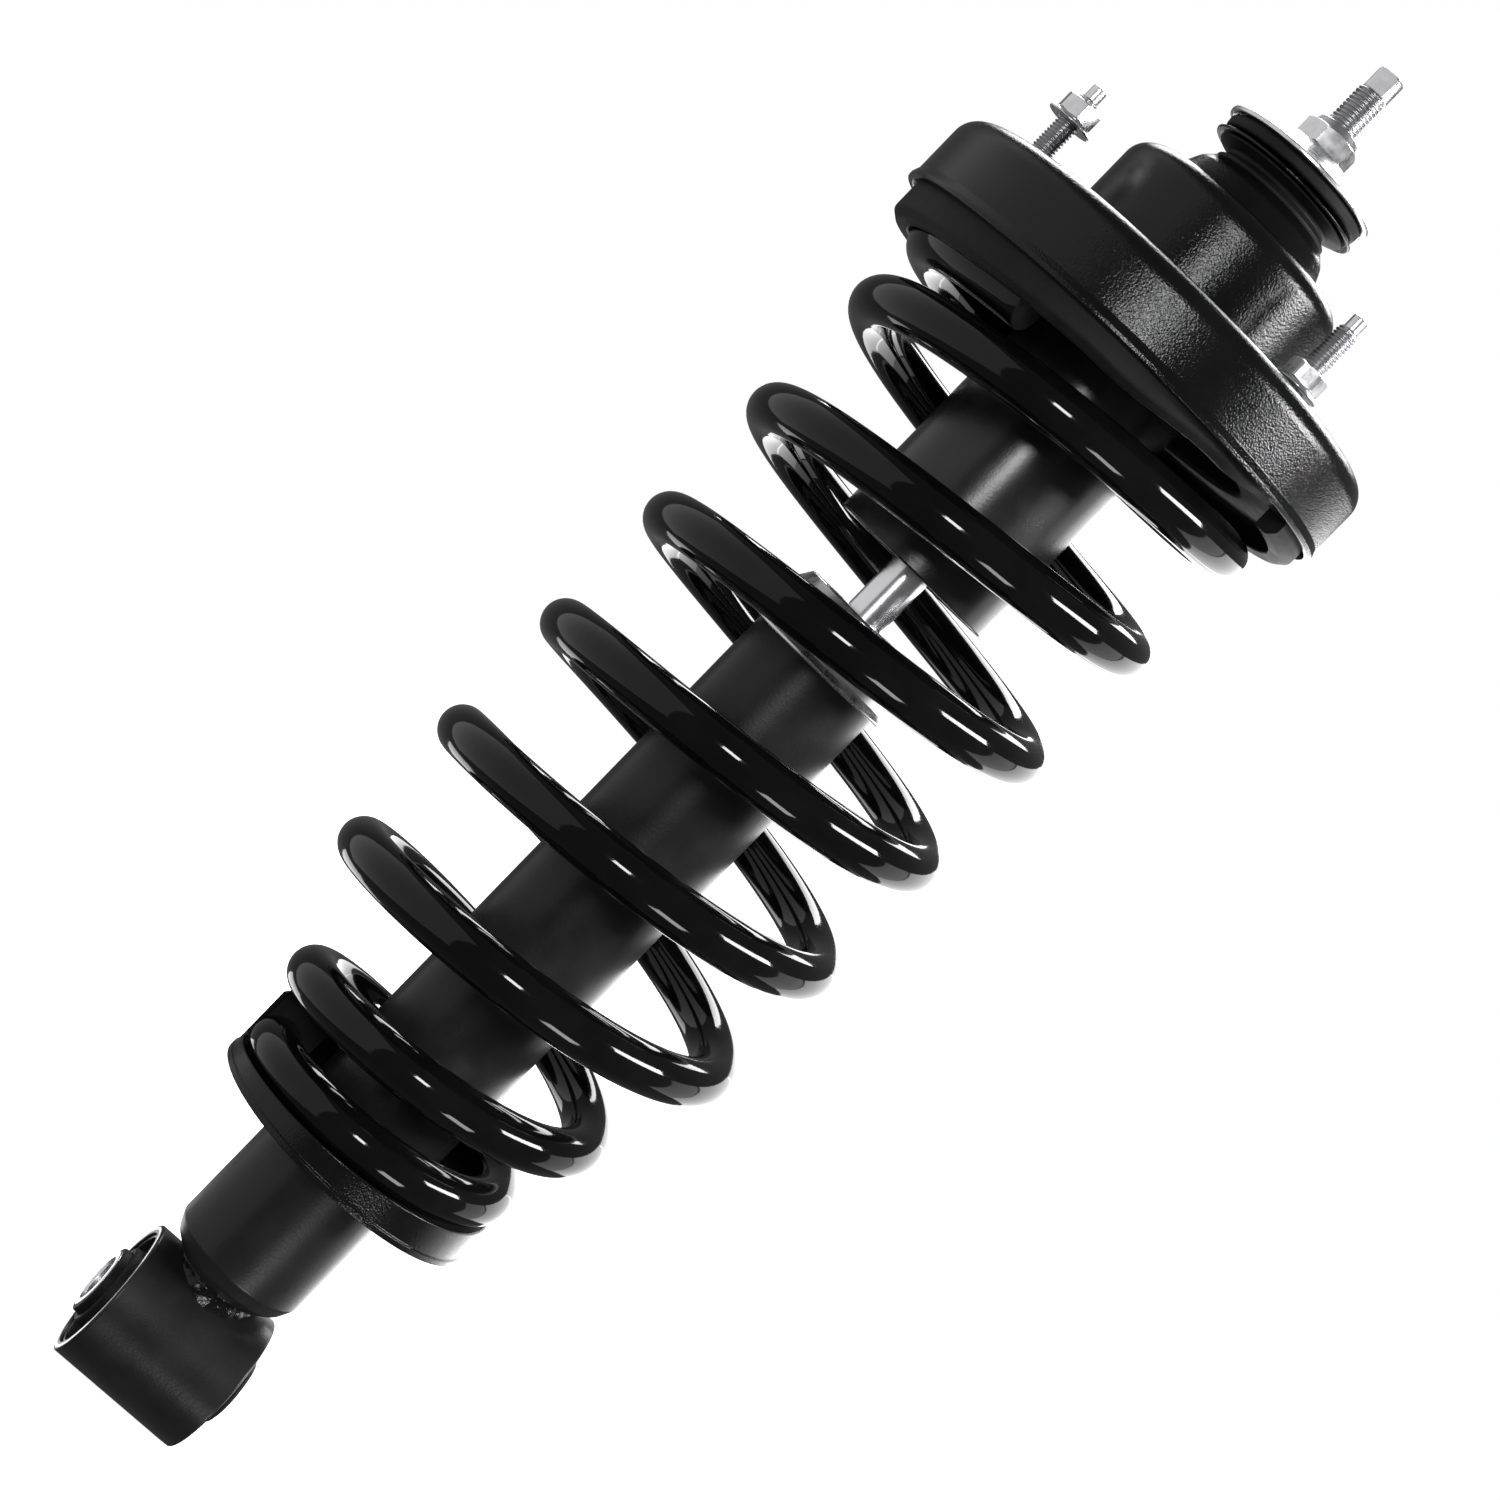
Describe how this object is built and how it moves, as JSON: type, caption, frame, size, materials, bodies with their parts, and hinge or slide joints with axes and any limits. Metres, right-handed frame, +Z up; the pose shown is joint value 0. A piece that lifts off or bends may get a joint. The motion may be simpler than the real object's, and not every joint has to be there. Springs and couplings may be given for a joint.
{
  "type": "suspension strut",
  "caption": "Coil-over suspension strut with a bushed lower eye, damper tube, tapered coil spring and a studded rubber top mount.",
  "frame": {"origin": "centre of the lower bush's bore", "axes": "+Z up the strut to the top mount, +X along the lower bush's bore"},
  "size_m": [0.1846, 0.1846, 0.6196],
  "materials": {
    "spring_enamel": "gloss",
    "gloss_black_paint": "gloss",
    "satin_black_paint": "satin",
    "zinc_plate": "satin",
    "hard_chrome": "polished",
    "bare_steel": "satin",
    "black_rubber": "matte",
    "buffer_foam": "matte",
    "cover_plastic": "matte",
    "seal_rubber": "matte",
    "band_plastic": "matte",
    "aluminium_casting": "satin"
  },
  "bodies": {
    "top_mount": {"upper_spring_seat": "gloss_black_paint", "mount_tower": "gloss_black_paint", "neck_shell": "gloss_black_paint", "lower_cushion": "black_rubber", "upper_spring_isolator": "black_rubber", "mount_stud_1": "zinc_plate", "mount_stud_2": "zinc_plate", "mount_stud_3": "zinc_plate", "coil_spring": "spring_enamel"},
    "rod": {"piston_rod": "hard_chrome", "piston": "bare_steel", "piston_band": "band_plastic", "piston_nut": "bare_steel", "rebound_stop": "seal_rubber", "bump_stop": "buffer_foam", "dust_cover": "cover_plastic", "bump_stop_spacer": "bare_steel", "support_washer": "bare_steel", "inner_sleeve": "bare_steel", "cup_washer": "zinc_plate", "upper_cushion": "black_rubber", "dished_washer": "zinc_plate", "rod_nut": "zinc_plate"},
    "damper": {"lower_eye": "satin_black_paint", "eye_weld_bead": "satin_black_paint", "lower_bush_shell": "satin_black_paint", "lower_bush_rubber": "black_rubber", "base_cup": "satin_black_paint", "reserve_tube": "satin_black_paint", "base_valve": "bare_steel", "pressure_tube": "bare_steel", "rod_guide": "aluminium_casting", "rod_seal": "seal_rubber", "striker_cap": "zinc_plate", "lower_spring_seat": "gloss_black_paint", "seat_weld_bead": "satin_black_paint", "lower_spring_insulator": "black_rubber"},
    "bush_sleeve": {"lower_bush_sleeve": "zinc_plate"},
    "nut_washer_1": {"stud_washer_1": "zinc_plate"},
    "nut_1": {"stud_nut_1": "zinc_plate"},
    "nut_washer_2": {"stud_washer_2": "zinc_plate"},
    "nut_2": {"stud_nut_2": "zinc_plate"},
    "nut_washer_3": {"stud_washer_3": "zinc_plate"},
    "nut_3": {"stud_nut_3": "zinc_plate"}
  },
  "joints": [
    {"name": "rod_swivel", "type": "hinge", "parent": "top_mount", "child": "rod", "pos_m": [0, 0, 0.5], "axis": [0, 0, 1], "range_deg": [-15, 15], "stiffness_Nm_per_rad": 8},
    {"name": "damper_stroke", "type": "slide", "parent": "top_mount", "child": "damper", "axis": [0, 0, 1], "range_m": [0, 0.08], "stiffness_N_per_m": 40000, "springref_m": -0.03, "deforming": ["coil_spring"]},
    {"name": "bush_twist", "type": "hinge", "parent": "damper", "child": "bush_sleeve", "pos_m": [0, 0, 0], "axis": [1, 0, 0], "range_deg": [-15, 15], "stiffness_Nm_per_rad": 30},
    {"name": "nut_1_travel", "type": "slide", "parent": "top_mount", "child": "nut_washer_1", "axis": [0, 0, 1], "range_m": [-0.0152, 0.0019]},
    {"name": "nut_1_spin", "type": "hinge", "parent": "nut_washer_1", "child": "nut_1", "pos_m": [-0.06696, -0.00433, 0.5], "axis": [0, 0, 1], "range_deg": [-4377.6, 547.2]},
    {"name": "nut_2_travel", "type": "slide", "parent": "top_mount", "child": "nut_washer_2", "axis": [0, 0, 1], "range_m": [-0.0002, 0.0169]},
    {"name": "nut_2_spin", "type": "hinge", "parent": "nut_washer_2", "child": "nut_2", "pos_m": [0.03723, -0.05582, 0.5], "axis": [0, 0, 1], "range_deg": [-57.6, 4867.2]},
    {"name": "nut_3_travel", "type": "slide", "parent": "top_mount", "child": "nut_washer_3", "axis": [0, 0, 1], "range_m": [-0.0032, 0.0139]},
    {"name": "nut_3_spin", "type": "hinge", "parent": "nut_washer_3", "child": "nut_3", "pos_m": [0.02973, 0.06015, 0.5], "axis": [0, 0, 1], "range_deg": [-921.6, 4003.2]}
  ],
  "couplings": [
    {"joint": "nut_1_spin", "follows": "nut_1_travel", "rad_per_m": 5026.5},
    {"joint": "nut_2_spin", "follows": "nut_2_travel", "rad_per_m": 5026.5},
    {"joint": "nut_3_spin", "follows": "nut_3_travel", "rad_per_m": 5026.5}
  ]
}
